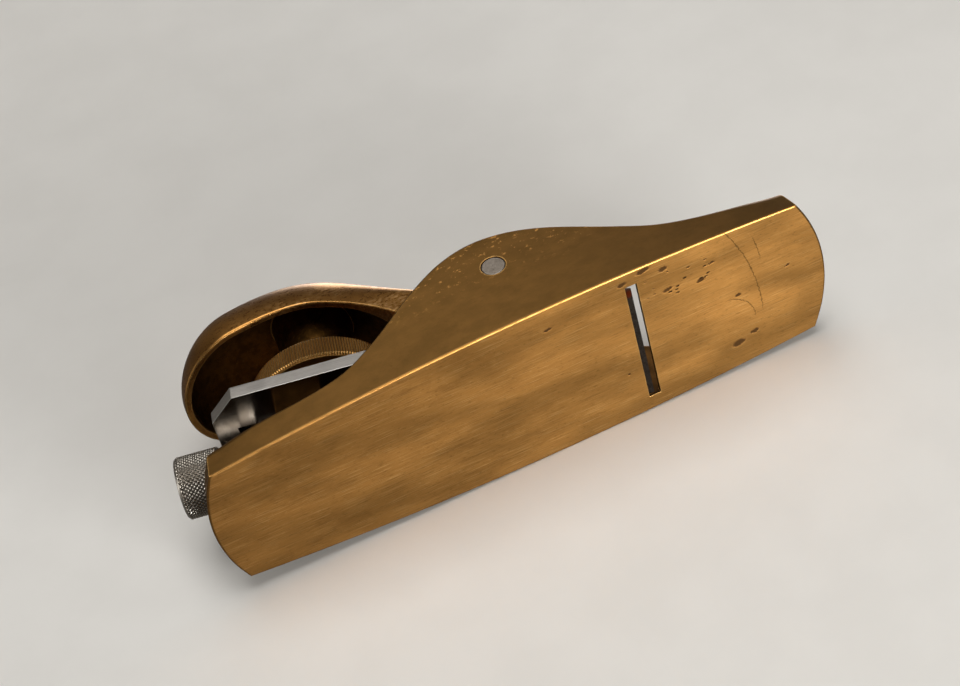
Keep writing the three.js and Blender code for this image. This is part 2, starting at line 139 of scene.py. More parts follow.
def curve_through(knots, steps=60):
    """Height as a function of x: a centripetal Catmull-Rom curve through the knots.

    Each span is the cubic whose end slopes weigh the neighbouring spans by the square root
    of their length; heights between the many samples are read off in a straight line.
    """
    p = np.array(knots, float)
    p = np.vstack([2 * p[0] - p[1], p, 2 * p[-1] - p[-2]])
    a, b, c, d = p[:-3], p[1:-2], p[2:-1], p[3:]
    gap = np.sqrt(np.linalg.norm(np.diff(p, axis=0), axis=1))[:, None]
    g0, g1, g2 = gap[:-2], gap[1:-1], gap[2:]
    start = ((b - a) / g0 - (c - a) / (g0 + g1) + (c - b) / g1) * g1
    end = ((c - b) / g1 - (d - b) / (g1 + g2) + (d - c) / g2) * g1
    t = np.linspace(0, 1, steps, endpoint=False)[:, None, None]
    spans = b + start * t + (3 * (c - b) - 2 * start - end) * t**2
    spans = spans + (2 * (b - c) + start + end) * t**3
    samples = np.vstack([spans.transpose(1, 0, 2).reshape(-1, 2), p[-2]])
    return lambda x: np.interp(x, samples[:, 0], samples[:, 1])


def smoothstep(x, low, high):
    """0 below low and 1 above high, with 3t^2 - 2t^3 of the share t between them."""
    t = np.clip((x - low) / (high - low), 0, 1)
    return t * t * (3 - 2 * t)


def in_blade(points):
    """From the blade's frame to the plane's: origin on the cutting edge, x up the blade to
    the toe, y across, z square to the blade."""
    p = np.asarray(points, float)
    across = np.array([0.0, 1.0, 0.0])
    return EDGE + p[..., :1] * ALONG + p[..., 1:2] * across + p[..., 2:3] * SQUARE


def lengthwise(points):
    """A shape turned about z laid along the adjuster's axis under the blade."""
    p = np.asarray(points, float)
    return in_blade(np.stack([p[..., 2], p[..., 1], -p[..., 0] - NUT_DROP], axis=-1))


def grid_quads(rings, around, rings_closed=False):
    """Quads of a grid that is closed around, and closed the other way too if asked."""
    last = rings if rings_closed else rings - 1
    i, k = np.meshgrid(np.arange(last), np.arange(around), indexing="ij")
    below, above, after = i * around, (i + 1) % rings * around, (k + 1) % around
    return np.stack([below + k, below + after, above + after, above + k], -1).reshape(-1, 4)


def turned(profile, segments, cut=None, closed=False):
    """Surface of revolution about z of a profile of radius, height and cutting depth.

    A point's radius is the profile's, less its cutting depth times cut(angle, height), which
    runs from 0 on the crests to 1 in the grooves. Returns points, quads and the cut share.
    """
    radius, height, depth = np.array(profile, float).T[:, :, None]
    angle = np.linspace(0, 2 * np.pi, segments, endpoint=False)[None, :]
    share = cut(angle, height) * (depth > 0) if cut else np.zeros((len(radius), segments))
    r = radius - depth * share
    points = np.stack([r * np.cos(angle), r * np.sin(angle), height + 0 * angle], axis=-1)
    return points, grid_quads(len(radius), segments, closed), share


def rod(radius, low, high, segments):
    """A plain round bar about z, for drilling. Returns points and quads."""
    ends = [(0, low, 0), (radius, low, 0), (radius, high, 0), (0, high, 0)]
    return turned(ends, segments)[:2]


def prism(outline, low, high, across="Y"):
    """A closed outline carried straight from low to high, across the plane or upwards."""
    flat = np.asarray(outline, float)
    n = len(flat)
    ends = [np.insert(flat, 1 if across == "Y" else 2, t, axis=1) for t in (low, high)]
    k = np.arange(n)
    sides = np.stack([k, (k + 1) % n, (k + 1) % n + n, k + n], -1).tolist()
    return np.vstack(ends), sides + [list(range(n))[::-1], list(range(n, 2 * n))]


# ---------------------------------------------------------------- meshes


def mesh_piece(name, points, faces, material, attribute=None):
    """A closed mesh with its seams merged and its faces pointing outwards."""
    mesh = bpy.data.meshes.new(name)
    points = np.asarray(points, float).reshape(-1, 3) * MM
    mesh.from_pydata(points.tolist(), [], np.asarray(faces).tolist()
                     if isinstance(faces, np.ndarray) else faces)
    if attribute is not None:
        layer = mesh.attributes.new("groove", "FLOAT", "POINT")
        layer.data.foreach_set("value", np.asarray(attribute, np.float32).ravel())
    work = bmesh.new()
    work.from_mesh(mesh)
    bmesh.ops.remove_doubles(work, verts=work.verts, dist=1e-4 * MM)
    bmesh.ops.dissolve_degenerate(work, edges=work.edges, dist=1e-5 * MM)
    bmesh.ops.recalc_face_normals(work, faces=work.faces)
    if work.calc_volume(signed=True) < 0:
        bmesh.ops.reverse_faces(work, faces=work.faces)
    work.to_mesh(mesh)
    work.free()
    mesh.materials.append(material)
    piece = bpy.data.objects.new(name, mesh)
    bpy.context.scene.collection.objects.link(piece)
    return piece


def combine(piece, operation, tool):
    """Join, cut or intersect piece with tool, which is used up; each keeps its material."""
    step = piece.modifiers.new(operation, "BOOLEAN")
    step.solver = "MANIFOLD"
    step.operation = operation
    step.object = tool
    step.material_mode = "TRANSFER"
    bpy.context.view_layer.update()
    graph = bpy.context.evaluated_depsgraph_get()
    made = bpy.data.meshes.new_from_object(piece.evaluated_get(graph))
    if not made.polygons:
        raise RuntimeError(f"{operation} left nothing of {piece.name}")
    piece.modifiers.clear()
    piece.data = made
    bpy.data.objects.remove(tool)
    return piece


def finish_piece(piece, body, nodes, crease=32.0, weighted=False):
    """Smooth shading up to the crease angle, then the CAD body it rides on."""
    piece.data.shade_smooth()
    piece.data.set_sharp_from_angle(angle=math.radians(crease))
    if weighted:
        flats = piece.modifiers.new("Flat faces first", "WEIGHTED_NORMAL")
        flats.mode = "FACE_AREA"
        flats.keep_sharp = True
    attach(piece, body)
    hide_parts(*nodes)
    return piece


# ---------------------------------------------------------------- material helpers


def linear(code):
    """An sRGB hex colour as linear RGBA."""
    c = np.array([int(code[i:i + 2], 16) for i in (1, 3, 5)]) / 255
    c = np.where(c <= 0.04045, c / 12.92, ((c + 0.055) / 1.055) ** 2.4)
    return (*c.tolist(), 1.0)


def add(tree, kind, links=(), **settings):
    """Add one node. Settings are its properties. Links fill its inputs, by name or in order,
    each from a socket, from a node's first output or with a plain value."""
    made = tree.nodes.new("ShaderNode" + kind)
    for key, value in settings.items():
        setattr(made, key, value)
    for key, value in links.items() if isinstance(links, dict) else enumerate(links):
        if isinstance(value, bpy.types.Node):
            value = value.outputs[0]
        if isinstance(value, bpy.types.NodeSocket):
            tree.links.new(value, made.inputs[key])
        else:
            made.inputs[key].default_value = value
    return made


def new_material(name):
    """An empty material and its node tree."""
    made = bpy.data.materials.new(name)
    made.use_nodes = True
    made.node_tree.nodes.clear()
    return made, made.node_tree


def new_metal(name, roughness):
    """A bare metal: the material, its tree, its shader and the object coordinates."""
    made, tree = new_material(name)
    shader = add(tree, "BsdfPrincipled", {"Metallic": 1.0, "Roughness": roughness})
    add(tree, "OutputMaterial", {"Surface": shader})
    return made, tree, shader, add(tree, "TexCoord").outputs["Object"]


def grain(tree, place, size, turn=0.0, detail=3.0, rough=0.55, seed=0.0):
    """Uneven grain whose marks are size millimetres long, wide and high, turned about z."""
    stretch = add(tree, "Mapping", {
        "Vector": place, "Location": (seed, seed, seed), "Rotation": (0, 0, turn),
        "Scale": tuple(s * MM for s in size)}, vector_type="TEXTURE")
    return add(tree, "TexNoise", {
        "Vector": stretch, "Scale": 1.0, "Detail": detail, "Roughness": rough})


def away_from(tree, place, centre, reach, turn=0.0):
    """Distance from a centre: 1 on an ellipsoid with the half sizes reach, in millimetres."""
    local = add(tree, "Mapping", {
        "Vector": place, "Location": tuple(c * MM for c in centre), "Rotation": (0, 0, turn),
        "Scale": tuple(s * MM for s in reach)}, vector_type="TEXTURE")
    return add(tree, "VectorMath", (local,), operation="LENGTH").outputs["Value"]


def level(tree, *parts):
    """How strongly something shows: its parts multiplied together.

    A part is a number, a node or socket, or a tuple of a pattern, the two values that it
    fades smoothly between and, where these aren't 0 and 1, the levels they become.
    """
    total = None
    for part in parts:
        if isinstance(part, tuple):
            part = add(tree, "MapRange", part, interpolation_type="SMOOTHSTEP")
        total = part if total is None else add(
            tree, "Math", (total, part), operation="MULTIPLY")
    return total


def layered(tree, base, layers):
    """A base colour with layers laid over it in turn, each a colour and its level's parts."""
    colour = base
    for tint, *parts in layers:
        links = {0: level(tree, *parts), 6: colour, 7: tint}
        colour = add(tree, "Mix", links, data_type="RGBA").outputs[2]
    return colour


def worn_edges(tree, radius):
    """1 on outer edges within radius millimetres, 0 on flat ground."""
    eased = add(tree, "Bevel", {"Radius": radius * MM}, samples=4)
    true = add(tree, "NewGeometry").outputs["Normal"]
    along = add(tree, "VectorMath", (eased, true), operation="DOT_PRODUCT")
    return level(tree, (along.outputs["Value"], 0.995, 0.93))


def dress(made, shader, base, layers, shine, heights, edge_radius):
    """Give a metal its layered colour, its roughness and its relief.

    The relief is a bump for each (height, depth in millimetres), over normals that are eased
    within edge_radius millimetres of a sharp edge.
    """
    tree = made.node_tree
    tree.links.new(layered(tree, base, layers), shader.inputs["Base Color"])
    tree.links.new(level(tree, shine).outputs[0], shader.inputs["Roughness"])
    normal = add(tree, "Bevel", {"Radius": edge_radius * MM}, samples=4)
    for height, depth in heights:
        links = {"Height": height, "Distance": depth * MM, "Strength": 1.0, "Normal": normal}
        normal = add(tree, "Bump", links)
    tree.links.new(normal.outputs[0], shader.inputs["Normal"])
    return made


# ---------------------------------------------------------------- settings


def shade(name, description, code):
    """A colour property whose default is an sRGB hex colour."""
    return bpy.props.FloatVectorProperty(
        name=name, description=description, subtype="COLOR", size=3, min=0, max=1,
        default=linear(code)[:3])


class BronzeSettings(bpy.types.PropertyGroup):
    """Colours and finish of the bronze"""
    clean: shade("Clean bronze", "Freshly rubbed bronze", "#DDA055")
    patina: shade("Patina", "Brown film on handled bronze", "#9C6D37")
    tarnish: shade("Tarnish", "Dark stains and casting skin", "#3E2A16")
    sole_roughness: bpy.props.FloatProperty(
        name="Sole roughness", description="Roughness of the ground sole", default=0.36,
        min=0.05, max=1, subtype="FACTOR")


class SteelSettings(bpy.types.PropertyGroup):
    """Colours of the steel"""
    ground: shade("Ground steel", "Surface-ground tool steel", "#C9C3BC")
    stainless: shade("Stainless steel", "Knurled adjuster knob", "#CFC7BB")
    grime: shade("Grime", "Dirt held in grooves", "#3A3129")


class KnurlSettings(bpy.types.PropertyGroup):
    """Grooves of the clamp wheel and the adjuster knob"""
    wheel_teeth: bpy.props.IntProperty(
        name="Wheel teeth", description="Straight grooves round the clamp wheel",
        default=168, min=60, max=300, subtype="UNSIGNED")
    wheel_depth: bpy.props.FloatProperty(
        name="Wheel groove depth", description="Depth of the clamp wheel's grooves",
        default=0.2 * MM, min=0, max=0.5 * MM, precision=5, subtype="DISTANCE", unit="LENGTH")
    knob_starts: bpy.props.IntProperty(
        name="Knob grooves", description="Grooves of each hand round the adjuster knob",
        default=46, min=20, max=100, subtype="UNSIGNED")
    knob_depth: bpy.props.FloatProperty(
        name="Knob groove depth", description="Depth of the adjuster knob's grooves",
        default=0.26 * MM, min=0, max=0.6 * MM, precision=5, subtype="DISTANCE", unit="LENGTH")


class StageSettings(bpy.types.PropertyGroup):
    """Floor and lamps"""
    floor: shade("Floor", "Pale studio floor", "#E8E5DF")
    light: bpy.props.FloatProperty(
        name="Light", description="Strength of all lamps together", default=1.0, min=0,
        soft_max=2, subtype="FACTOR")


# ---------------------------------------------------------------- materials


def ground_bronze(look):
    """Cast bronze, ground lengthwise and handled: fine streaks along the length give a long
    soft sheen, brown patina clouds it, a painted sheen brightens the sole towards the toe,
    and the sole has dark pits, stains and scratches."""
    made, tree, shader, place = new_metal("ground_bronze", look.sole_roughness)
    x, y, z = add(tree, "SeparateXYZ", (place,)).outputs
    clouds = grain(tree, place, (34, 11, 11), turn=0.1, detail=4)
    mottle = grain(tree, place, (5, 3.2, 3.2), detail=5, rough=0.65, seed=0.2)
    fine = grain(tree, place, (9, 0.2, 0.2), turn=0.02, detail=2)
    medium = grain(tree, place, (26, 0.55, 0.55), turn=-0.05, detail=3, seed=0.4)
    broad = grain(tree, place, (70, 2.6, 2.6), turn=0.07, detail=3, seed=0.7)
    grit = grain(tree, place, (1.3, 0.5, 0.5), turn=0.05, detail=5, rough=0.7, seed=0.5)
    rub = grain(tree, place, (1.7, 1.2, 1.2), detail=6, rough=0.7, seed=0.9)
    clean, patina, tarnish = (*look.clean, 1), (*look.patina, 1), (*look.tarnish, 1)
    rubbed = linear("#E8BC78")
    sole = level(tree, (z, 0.35 * MM, 0.1 * MM))
    cheeks = add(tree, "Math", (1.0, sole), operation="SUBTRACT")

    # Small corrosion pits in front of the mouth, 1 mm across and drawn out along the length.
    cells = {"Vector": place, "Scale": (1.7 * MM, 0.95 * MM, 0.95 * MM)}
    cells = add(tree, "Mapping", cells, vector_type="TEXTURE")
    pit = add(tree, "TexVoronoi", {"Vector": cells, "Scale": 1.0})
    chosen = add(tree, "SeparateXYZ", (pit.outputs["Color"],))
    patch = away_from(tree, place, (38, -12.5, 0), (13, 5.5, 9), turn=0.12)
    pits = level(tree, sole, (pit.outputs["Distance"], 0.36, 0.2), (chosen, 0.62, 0.66),
                 (patch, 1.0, 0.55))

    # Stains with a ragged edge: centre x, centre y, half length and half width.
    wobble = add(tree, "TexNoise", {"Vector": place, "Scale": 1400.0, "Detail": 3.0})
    wobble = add(tree, "MapRange", {"Vector": wobble.outputs["Color"], 7: (0, 0, 0),
                                    8: (1, 1, 1), 9: (-0.4 * MM,) * 3, 10: (0.4 * MM,) * 3},
                 data_type="FLOAT_VECTOR").outputs[1]
    shaken = add(tree, "VectorMath", (place, wobble), operation="ADD")
    stains = 0.0
    for cx, cy, length, width in (
        (34.8, -17.2, 1.3, 0.8), (35.0, -11.1, 1.5, 0.6), (25.6, -17.8, 1.3, 0.7),
        (30.5, -19.0, 2.0, 0.7), (42.3, -9.6, 1.4, 0.5), (45.2, -13.0, 1.0, 0.4),
        (49.7, -0.9, 0.9, 0.5), (47.9, 12.6, 2.0, 1.1), (51.8, 11.2, 1.3, 0.7),
        (8.2, -14.7, 1.2, 0.55), (22.8, 7.6, 0.35, 0.35), (61.5, -3.0, 0.8, 0.4),
    ):
        spot = away_from(tree, shaken, (cx, cy, 0), (length, width, 1.2), turn=-0.15)
        spot = level(tree, (spot, 1.15, 0.55))
        stains = add(tree, "Math", (stains, spot), operation="MAXIMUM")

    # Fine curved scratches near the toe: centre x, centre y, radius, lowest and highest y.
    scratches = 0.0
    for cx, cy, radius, low, high in ((1.7, 3.9, 52.9, -22, 7), (45.6, 6.3, 7.1, -8, 8),
                                      (17.0, -6.0, 39.0, -16, -7)):
        moved = add(tree, "VectorMath", (shaken, (cx * MM, cy * MM, 0)), operation="SUBTRACT")
        reach = add(tree, "VectorMath", (moved,), operation="LENGTH").outputs["Value"]
        off = add(tree, "Math", (reach, radius * MM), operation="SUBTRACT")
        off = add(tree, "Math", (off,), operation="ABSOLUTE")
        line = level(tree, (off, 0.16 * MM, 0.03 * MM), (y, low * MM, (low + 3) * MM),
                     (y, high * MM, (high - 3) * MM), (x, 46 * MM, 48 * MM), sole)
        scratches = add(tree, "Math", (scratches, line), operation="MAXIMUM")

    layers = [
        (patina, (clouds, 0.3, 0.75, 0.46, 0.66)),
        (patina, (broad, 0.42, 0.66, 0.0, 0.12), sole),
        (patina, (mottle, 0.45, 0.7, 0.0, 0.4), sole),
        (tarnish, (medium, 0.5, 0.75, 0.0, 0.1), sole),
        # Painted sheen: clean bronze is laid over the sole more and more towards the toe, a
        # painted brightening from heel to toe.
        (clean, (x, -15 * MM, 62 * MM), sole, (mottle, 0.3, 0.7, 0.35, 0.7)),
        (rubbed, (fine, 0.56, 0.7, 0.0, 0.45), sole),
        (tarnish, (fine, 0.44, 0.3, 0.0, 0.28), sole),
        (linear("#6B4722"), (grit, 0.54, 0.72, 0.0, 0.5)),
        (rubbed, (grit, 0.42, 0.28, 0.0, 0.4), sole),
        (linear("#5C4321"), cheeks, (mottle, 0.25, 0.75, 0.82, 0.93)),
        (linear("#463217"), cheeks, (clouds, 0.45, 0.8, 0.0, 0.3)),
        # Bright rubbed specks on the cheeks round the hump.
        (clean, cheeks, (z, 10 * MM, 25 * MM), (rub, 0.57, 0.66, 0.0, 0.7)),
        (linear("#24170D"), pits, 0.95),
        (linear("#2C1B11"), stains, 0.9),
        (tarnish, scratches, 0.6),
        (linear("#E2B36C"), worn_edges(tree, 0.5), 0.8),
    ]

    least, most = look.sole_roughness - 0.05, look.sole_roughness + 0.08
    shine = level(tree, (clouds, 0.3, 0.75, least, most))
    dull = add(tree, "Math", (stains, pits), operation="MAXIMUM")
    for rougher in (level(tree, cheeks, 0.06), level(tree, dull, 0.25)):
        shine = add(tree, "Math", (shine, rougher), operation="ADD")
    shader.inputs["Anisotropic"].default_value = 0.6
    shader.inputs["Anisotropic Rotation"].default_value = 0.25
    lengthways = add(tree, "CombineXYZ", {"X": 1.0})
    tree.links.new(lengthways.outputs[0], shader.inputs["Tangent"])
    hollow = add(tree, "Math", (1.0, dull), operation="SUBTRACT")
    groove = add(tree, "Math", (1.0, scratches), operation="SUBTRACT")
    heights = [(fine, 0.005), (medium, 0.003), (broad, 0.002), (mottle, 0.005),
               (hollow, 0.03), (groove, 0.012)]
    return dress(made, shader, clean, layers, shine, heights, 0.12)


def milled_bronze(look):
    """Milled and sand-cast bronze inside the well: dull brown, cutter marks 0.8 mm apart."""
    made, tree, shader, place = new_metal("milled_bronze", 0.5)
    clouds = grain(tree, place, (6, 6, 6), detail=5, rough=0.6)
    marks = grain(tree, place, (0.8, 14, 14), detail=2, seed=0.3)
    layers = [
        ((*look.tarnish, 1), (clouds, 0.3, 0.7, 0.3, 0.85)),
        ((*look.clean, 1), worn_edges(tree, 0.4), 0.7),
    ]
    return dress(made, shader, (*look.patina, 1), layers, (clouds, 0.3, 0.7, 0.42, 0.6),
                 [(marks, 0.03), (clouds, 0.05)], 0.15)


def polished_bronze(look):
    """Lever cap outside: cast bronze polished by the palm, with a thin brown film that is
    rubbed through in speckled patches on the flanks."""
    made, tree, shader, place = new_metal("polished_bronze", 0.3)
    x = add(tree, "SeparateXYZ", (place,)).outputs[0]
    clouds = grain(tree, place, (13, 9, 7), detail=4, rough=0.6)
    speckle = grain(tree, place, (1.1, 1.0, 0.6), detail=6, rough=0.72, seed=0.6)
    skin = grain(tree, place, (3.0, 0.5, 0.4), detail=4, rough=0.6, seed=0.1)
    rubbed = level(tree, (x, -46 * MM, -30 * MM), (clouds, 0.42, 0.6), (speckle, 0.47, 0.62))
    layers = [
        ((*look.clean, 1), (clouds, 0.4, 0.72, 0.0, 0.55)),
        (linear("#6A4A22"), (speckle, 0.48, 0.72, 0.0, 0.45)),
        (linear("#E0B27A"), rubbed, 0.7),
        (linear("#E6BA74"), worn_edges(tree, 0.6), 0.9),
    ]
    return dress(made, shader, (*look.patina, 1), layers, (speckle, 0.35, 0.7, 0.26, 0.42),
                 [(speckle, 0.02), (skin, 0.012), (clouds, 0.05)], 0.2)


def cast_bronze():
    """Unpolished casting skin inside the palm: dark brown, grainy, with bright high spots."""
    made, tree, shader, place = new_metal("cast_bronze", 0.45)
    lumps = grain(tree, place, (2.4, 2.4, 2.4), detail=5, rough=0.65)
    sand = grain(tree, place, (0.5, 0.5, 0.5), detail=4, rough=0.7, seed=0.5)
    layers = [
        (linear("#4A3216"), (lumps, 0.35, 0.65, 0.0, 0.7)),
        (linear("#A87B3A"), (sand, 0.58, 0.7), (lumps, 0.62, 0.45)),
        (linear("#E6BA74"), worn_edges(tree, 0.6), 0.85),
    ]
    return dress(made, shader, linear("#7A5526"), layers, (sand, 0.35, 0.7, 0.36, 0.6),
                 [(lumps, 0.14), (sand, 0.05)], 0.25)


def turned_bronze(look):
    """Clamp wheel: bronze turned on a lathe and straight-knurled, dirt in the grooves."""
    made, tree, shader, place = new_metal("lathe_turned_bronze", 0.34)
    depth = add(tree, "Attribute", attribute_name="groove").outputs["Fac"]
    smudge = grain(tree, place, (3, 3, 3), detail=4, rough=0.6)
    cuts = grain(tree, place, (0.25, 0.25, 0.25), detail=2, seed=0.2)
    layers = [
        ((*look.patina, 1), (smudge, 0.3, 0.7, 0.6, 0.95)),
        ((*look.tarnish, 1), (depth, 0.2, 0.9, 0.0, 0.9)),
        (linear("#E6BA74"), worn_edges(tree, 0.25), 0.8),
    ]
    return dress(made, shader, (*look.clean, 1), layers, (smudge, 0.3, 0.7, 0.28, 0.42),
                 [(cuts, 0.006), (smudge, 0.01)], 0.08)


def ground_steel(name, colour, shine, line):
    """Steel after grinding or turning: grey, with lines of the size line along the blade."""
    made, tree, shader, place = new_metal(name, shine)
    tilt = {"Vector": place, "Rotation": (0, BED_ANGLE, 0)}
    place = add(tree, "Mapping", tilt, vector_type="TEXTURE")
    lines = grain(tree, place, line, detail=3, rough=0.7)
    smoke = grain(tree, place, (7, 4, 4), detail=4, rough=0.6, seed=0.3)
    layers = [
        (linear("#8E8780"), (lines, 0.45, 0.75, 0.0, 0.45)),
        (linear("#8A7C6C"), (smoke, 0.45, 0.75, 0.0, 0.35)),
        (linear("#E4E0DA"), worn_edges(tree, 0.25), 0.6),
    ]
    return dress(made, shader, colour, layers, (smoke, 0.3, 0.7, shine - 0.05, shine + 0.09),
                 [(lines, 0.008)], 0.1)


def mouth_steel():
    """Back and bevel of the blade at the mouth: grey-brown, stained, one spot of red rust."""
    made, tree, shader, place = new_metal("stained_tool_steel", 0.4)
    stain = grain(tree, place, (1.6, 2.2, 1.6), detail=5, rough=0.65)
    spot = away_from(tree, place, (26.6, -14.4, 0.3), (0.8, 1.3, 1.5))
    layers = [
        (linear("#352B24"), (stain, 0.35, 0.65, 0.0, 0.8)),
        (linear("#8A3A1C"), (spot, 1.3, 0.4), (stain, 0.25, 0.45)),
    ]
    return dress(made, shader, linear("#675D54"), layers, (stain, 0.3, 0.7, 0.32, 0.55),
                 [(stain, 0.02)], 0.05)


def knurled_steel(look):
    """Stainless steel knob, diamond-knurled: bright crests and grime down in the grooves."""
    made, tree, shader, place = new_metal("knurled_stainless", 0.28)
    depth = add(tree, "Attribute", attribute_name="groove").outputs["Fac"]
    smudge = grain(tree, place, (2.5, 2.5, 2.5), detail=4, rough=0.6)
    layers = [
        (linear("#9C8C78"), (smudge, 0.4, 0.75, 0.0, 0.4)),
        ((*look.grime, 1), (depth, 0.35, 0.95, 0.0, 0.9)),
    ]
    return dress(made, shader, (*look.stainless, 1), layers, (smudge, 0.3, 0.7, 0.22, 0.36),
                 [(smudge, 0.01)], 0.06)


def pin_steel():
    """Mild steel pin, hammered and filed flush: dull grey with pin-prick pits."""
    made, tree, shader, place = new_metal("filed_pin_steel", 0.42)
    pit = add(tree, "TexVoronoi", {"Vector": place, "Scale": 1 / (0.55 * MM)})
    cloud = grain(tree, place, (1.3, 1.3, 1.0), detail=5, rough=0.65)
    pits = level(tree, (pit.outputs["Distance"], 0.3, 0.12), (cloud, 0.5, 0.62))
    layers = [
        (linear("#7E766E"), (cloud, 0.35, 0.7, 0.0, 0.5)),
        (linear("#3C352E"), pits, 0.8),
        (linear("#D9D3CC"), worn_edges(tree, 0.2), 0.6),
    ]
    return dress(made, shader, linear("#B3A698"), layers, (cloud, 0.3, 0.7, 0.34, 0.52),
                 [(cloud, 0.03)], 0.1)


# ---------------------------------------------------------------- body

# Top of the cheeks: x and height.
cheek_top = curve_through([
    (-72, 6.8), (-56, 7.8), (-43, 7.4), (-33, 8.7), (-24.6, 12.9), (-12.3, 21.4),
    (-4, 25.6), (3, 26.9), (10.5, 25.8), (18, 22.6), (30.3, 14.8), (38, 10.4), (46, 7.9),
    (56, 6.8), (72, 5.7)])


def bed_at(x):
    """Height of the bed, a hair under the blade's back."""
    drop = (EDGE[0] - x) * math.tan(BED_ANGLE)
    return EDGE[2] + drop - BED_GAP / math.cos(BED_ANGLE)


def blade_top_at(x):
    """Height of the blade's upper face."""
    return bed_at(x) + (BLADE_THICK + BED_GAP) / math.cos(BED_ANGLE)


def plan_outline(inset, side_steps=220, end_steps=56):
    """Boat-shaped plan: two sides bowed on one large radius and an arc at each end.

    Where a side meets an end is found by stepping between the two until they agree.
    """
    def width(x):
        return HALF_WIDTH - (x - WIDEST_X) ** 2 / (2 * SIDE_RADIUS) - inset

    def toe(y):
        return HALF_LENGTH - TOE_RADIUS + np.sqrt((TOE_RADIUS - inset) ** 2 - y * y)

    def heel(y):
        return HEEL_RADIUS - HALF_LENGTH - np.sqrt((HEEL_RADIUS - inset) ** 2 - y * y)

    corners = []
    for end in (toe, heel):
        y = width(end(0.0))
        for _ in range(20):
            y = width(end(y))
        corners.append(y)
    toe_y, heel_y = corners
    x = np.linspace(heel(heel_y), toe(toe_y), side_steps + 1)
    ty = np.linspace(-toe_y, toe_y, end_steps + 1)[1:-1]
    hy = np.linspace(heel_y, -heel_y, end_steps + 1)[1:-1]
    right = np.stack([x, -width(x)], -1)
    left = np.stack([x[::-1], width(x[::-1])], -1)
    arcs = np.stack([toe(ty), ty], -1), np.stack([heel(hy), hy], -1)
    return np.vstack([right, arcs[0], left, arcs[1]])


def hull(rounding=10, sole_rounding=6):
    """The plan outline carried up to the cheek line.

    Its lower edge turns through a quarter circle of the sole's worn radius, and its upper
    edge through another whose radius grows towards the ends; both faces close on a ridge at
    y = 0. The end faces lean inwards with height.
    """
    outer, sole = plan_outline(0), plan_outline(SOLE_ROUND)
    x0, y0 = outer.T
    flat = np.zeros_like(x0)
    inner = plan_outline(SOLE_ROUND + SPINE_INSET)
    rings = [(inner[:, 0], 0 * y0, flat), (inner[:, 0], inner[:, 1], flat)]
    for rise in np.linspace(0, np.pi / 2, sole_rounding + 1):
        x, y = (sole + (outer - sole) * np.sin(rise)).T
        rings.append((x, y, flat + SOLE_ROUND * (1 - np.cos(rise))))
    share = smoothstep(np.abs(x0), ROUND_FROM, ROUND_TO)
    radius = CHEEK_ROUND + (END_ROUND - CHEEK_ROUND) * share
    low, high = plan_outline(CHEEK_ROUND), plan_outline(END_ROUND)
    x1, y1 = (low + (high - low) * share[:, None]).T
    lean = -np.sign(x0) * END_LEAN * smoothstep(np.abs(x0), LEAN_FROM, LEAN_TO)
    top = cheek_top(x1)
    for turn in np.linspace(0, np.pi / 2, rounding + 1):
        inward = 1 - np.cos(turn)
        z = top - radius * (1 - np.sin(turn))
        x = x0 + (x1 - x0) * inward
        rings.append((x + lean * z, y0 + (y1 - y0) * inward, z))
    rings.append((x1 + lean * top, y1 * 0, top))
    points = np.stack([np.stack(ring, -1) for ring in rings])
    return points, grid_quads(len(rings), len(x0))


def build_body(look):
    """Hull, less the open well, the finger dish and the pin's hole, plus the rear block."""
    ground, milled = ground_bronze(look), milled_bronze(look)
    body = mesh_piece("ground_body", *hull(), ground)
    ramp, high, below = bed_at(RAMP_BACK), CLEAR_OF_TOP, -1
    step, beyond = RAMP_BACK - 2, -90
    front = [(MOUTH_REAR, below), (MOUTH_FRONT, below), (MOUTH_FRONT, 1), *THROAT_FRONT,
             (THROAT_FRONT[-1][0], high), (step, high), (step, ramp), (RAMP_BACK, ramp),
             (MOUTH_REAR, bed_at(MOUTH_REAR))]
    rear = [(step + RAMP_OVERLAP, high), (beyond, high), (beyond, FLOOR),
            (RAMP_BACK - RAMP_FOOT, FLOOR), (step + RAMP_OVERLAP, ramp)]
    pocket = mesh_piece("pocket", *prism(rear, -WELL_HALF, WELL_HALF), milled)
    inside = mesh_piece("inside", *prism(plan_outline(WALL), below, high + 5, "Z"), milled)
    combine(pocket, "INTERSECT", inside)
    combine(body, "DIFFERENCE",
            mesh_piece("throat", *prism(front, -WELL_HALF, WELL_HALF), milled))
    combine(body, "DIFFERENCE", pocket)

    corners = in_blade([(BLOCK_REAR, 0, -BED_GAP), (BLOCK_FRONT, 0, -BED_GAP)])[:, [0, 2]]
    slide = (corners[:, 1] - BLOCK_FOOT) * math.tan(BED_ANGLE)
    feet = np.stack([corners[:, 0] - slide, [BLOCK_FOOT, BLOCK_FOOT]], -1)
    block = [*corners.tolist(), *feet[::-1].tolist()]
    bore, quads = rod(BORE_RADIUS, BORE_REAR, BORE_FRONT, 48)
    block = mesh_piece("rear_block", *prism(block, -BLOCK_HALF, BLOCK_HALF), milled)
    combine(block, "DIFFERENCE", mesh_piece("bore", lengthwise(bore), quads, milled))
    combine(body, "UNION", block)

    arc = np.linspace(0, math.asin(DISH_HALF / DISH_RADIUS), 24)
    bowl = zip(DISH_RADIUS * np.sin(arc), DISH_RADIUS * (1 - np.cos(arc)), 0 * arc)
    points, quads, _ = turned([*bowl, (DISH_HALF, 8, 0), (0, 8, 0)], 128)
    centre = np.array([DISH_X, 0, DISH_TOP - DISH_DEPTH])
    combine(body, "DIFFERENCE", mesh_piece("dish", points + centre, quads, ground))

    points, quads = rod(PIN_RADIUS + PIN_HOLE_FIT, -30, 30, 96)
    points = np.stack([points[..., 0], points[..., 2], -points[..., 1]], -1) + PIN
    combine(body, "DIFFERENCE", mesh_piece("pin_hole", points, quads, milled))
    return finish_piece(body, "plane_body", ["body"], weighted=True)


# ---------------------------------------------------------------- lever cap

